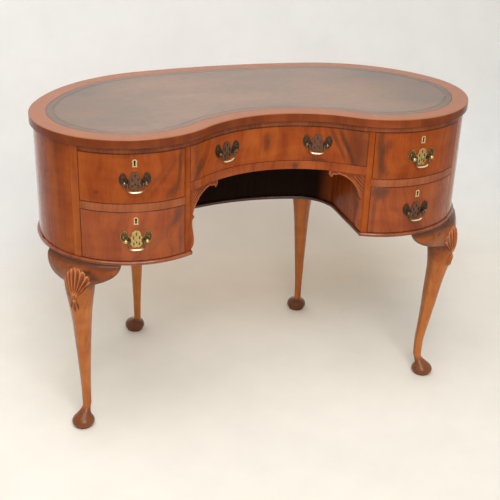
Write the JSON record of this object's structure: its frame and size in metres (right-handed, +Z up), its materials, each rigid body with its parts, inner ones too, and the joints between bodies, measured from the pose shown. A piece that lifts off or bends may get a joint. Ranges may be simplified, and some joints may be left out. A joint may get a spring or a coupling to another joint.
{
  "type": "kidney shaped writing desk",
  "caption": "Kidney shaped pedestal writing desk with a leather inset, curved drawers that slide on hanging brass bails, a kneehole and carved cabriole legs.",
  "frame": {"origin": "on the floor, under the middle of the desk", "axes": "+X to the right end as the sitter sees it, -Y to the sitter, +Z up"},
  "size_m": [1.066, 0.5543, 0.765],
  "materials": {
    "banded_top": "polished crossbanded walnut",
    "desk_leather": "worn, waxed brown-grey leather",
    "veneer": "polished walnut",
    "drawer_veneer": "polished figured veneer",
    "end_veneer": "polished straight grained veneer",
    "carved_wood": "polished carved walnut",
    "leg_wood": "polished carved walnut, darker at the foot",
    "lining": "plain unpolished drawer and carcass lining",
    "aged_brass": "aged, darkened in the hollows",
    "bone": "smooth pale bone, read as a hard matte material",
    "steel": "dull"
  },
  "bodies": {
    "carcass": {"top_board": "banded_top", "leather_panel": "desk_leather", "top_rail": "veneer", "apron_rail": "veneer", "left_pedestal_side": "veneer", "left_outer_stile": "veneer", "left_drawer_blade": "veneer", "left_dust_board": "lining", "left_end_panel": "end_veneer", "left_bracket": "carved_wood", "left_front_leg": "leg_wood", "left_back_leg": "leg_wood", "right_pedestal_side": "veneer", "right_outer_stile": "veneer", "right_drawer_blade": "veneer", "right_dust_board": "lining", "right_end_panel": "end_veneer", "right_bracket": "carved_wood", "right_front_leg": "leg_wood", "right_back_leg": "leg_wood", "back_panel": "end_veneer", "kneehole_back": "end_veneer", "centre_dust_board": "lining", "base_board": "lining", "base_moulding": "carved_wood"},
    "left_upper_drawer": {"left_upper_drawer_front": "drawer_veneer", "left_upper_drawer_box": "lining", "left_upper_drawer_bottom": "lining", "left_upper_handle_plate": "aged_brass", "left_upper_key_plate": "bone", "left_upper_lock": "steel"},
    "left_upper_bail": {"left_upper_bail": "aged_brass"},
    "left_lower_drawer": {"left_lower_drawer_front": "drawer_veneer", "left_lower_drawer_box": "lining", "left_lower_drawer_bottom": "lining", "left_lower_handle_plate": "aged_brass", "left_lower_key_plate": "bone", "left_lower_lock": "steel"},
    "left_lower_bail": {"left_lower_bail": "aged_brass"},
    "right_upper_drawer": {"right_upper_drawer_front": "drawer_veneer", "right_upper_drawer_box": "lining", "right_upper_drawer_bottom": "lining", "right_upper_handle_plate": "aged_brass", "right_upper_key_plate": "bone", "right_upper_lock": "steel"},
    "right_upper_bail": {"right_upper_bail": "aged_brass"},
    "right_lower_drawer": {"right_lower_drawer_front": "drawer_veneer", "right_lower_drawer_box": "lining", "right_lower_drawer_bottom": "lining", "right_lower_handle_plate": "aged_brass", "right_lower_key_plate": "bone", "right_lower_lock": "steel"},
    "right_lower_bail": {"right_lower_bail": "aged_brass"},
    "centre_drawer": {"centre_drawer_front": "drawer_veneer", "centre_drawer_box": "lining", "centre_drawer_bottom": "lining", "centre_left_handle_plate": "aged_brass", "centre_right_handle_plate": "aged_brass"},
    "centre_left_bail": {"centre_left_bail": "aged_brass"},
    "centre_right_bail": {"centre_right_bail": "aged_brass"}
  },
  "joints": [
    {"name": "left_upper_drawer_slide", "type": "slide", "parent": "carcass", "child": "left_upper_drawer", "axis": [0, -1, 0], "range_m": [0, 0.24]},
    {"name": "left_upper_bail_swing", "type": "hinge", "parent": "left_upper_drawer", "child": "left_upper_bail", "pos_m": [-0.33732, -0.27071, 0.66725], "axis": [-0.992, 0.1262, 0], "range_deg": [0, 90]},
    {"name": "left_lower_drawer_slide", "type": "slide", "parent": "carcass", "child": "left_lower_drawer", "axis": [0, -1, 0], "range_m": [0, 0.24]},
    {"name": "left_lower_bail_swing", "type": "hinge", "parent": "left_lower_drawer", "child": "left_lower_bail", "pos_m": [-0.33732, -0.27071, 0.532], "axis": [-0.992, 0.1262, 0], "range_deg": [0, 90]},
    {"name": "right_upper_drawer_slide", "type": "slide", "parent": "carcass", "child": "right_upper_drawer", "axis": [0, -1, 0], "range_m": [0, 0.24]},
    {"name": "right_upper_bail_swing", "type": "hinge", "parent": "right_upper_drawer", "child": "right_upper_bail", "pos_m": [0.33732, -0.27071, 0.66725], "axis": [-0.992, -0.1262, 0], "range_deg": [0, 90]},
    {"name": "right_lower_drawer_slide", "type": "slide", "parent": "carcass", "child": "right_lower_drawer", "axis": [0, -1, 0], "range_m": [0, 0.24]},
    {"name": "right_lower_bail_swing", "type": "hinge", "parent": "right_lower_drawer", "child": "right_lower_bail", "pos_m": [0.33732, -0.27071, 0.532], "axis": [-0.992, -0.1262, 0], "range_deg": [0, 90]},
    {"name": "centre_drawer_slide", "type": "slide", "parent": "carcass", "child": "centre_drawer", "axis": [0, -1, 0], "range_m": [0, 0.2]},
    {"name": "centre_left_bail_swing", "type": "hinge", "parent": "centre_drawer", "child": "centre_left_bail", "pos_m": [-0.10665, -0.18612, 0.68875], "axis": [-0.919, -0.3943, 0], "range_deg": [0, 90]},
    {"name": "centre_right_bail_swing", "type": "hinge", "parent": "centre_drawer", "child": "centre_right_bail", "pos_m": [0.10665, -0.18612, 0.68875], "axis": [-0.919, 0.3943, 0], "range_deg": [0, 90]}
  ]
}
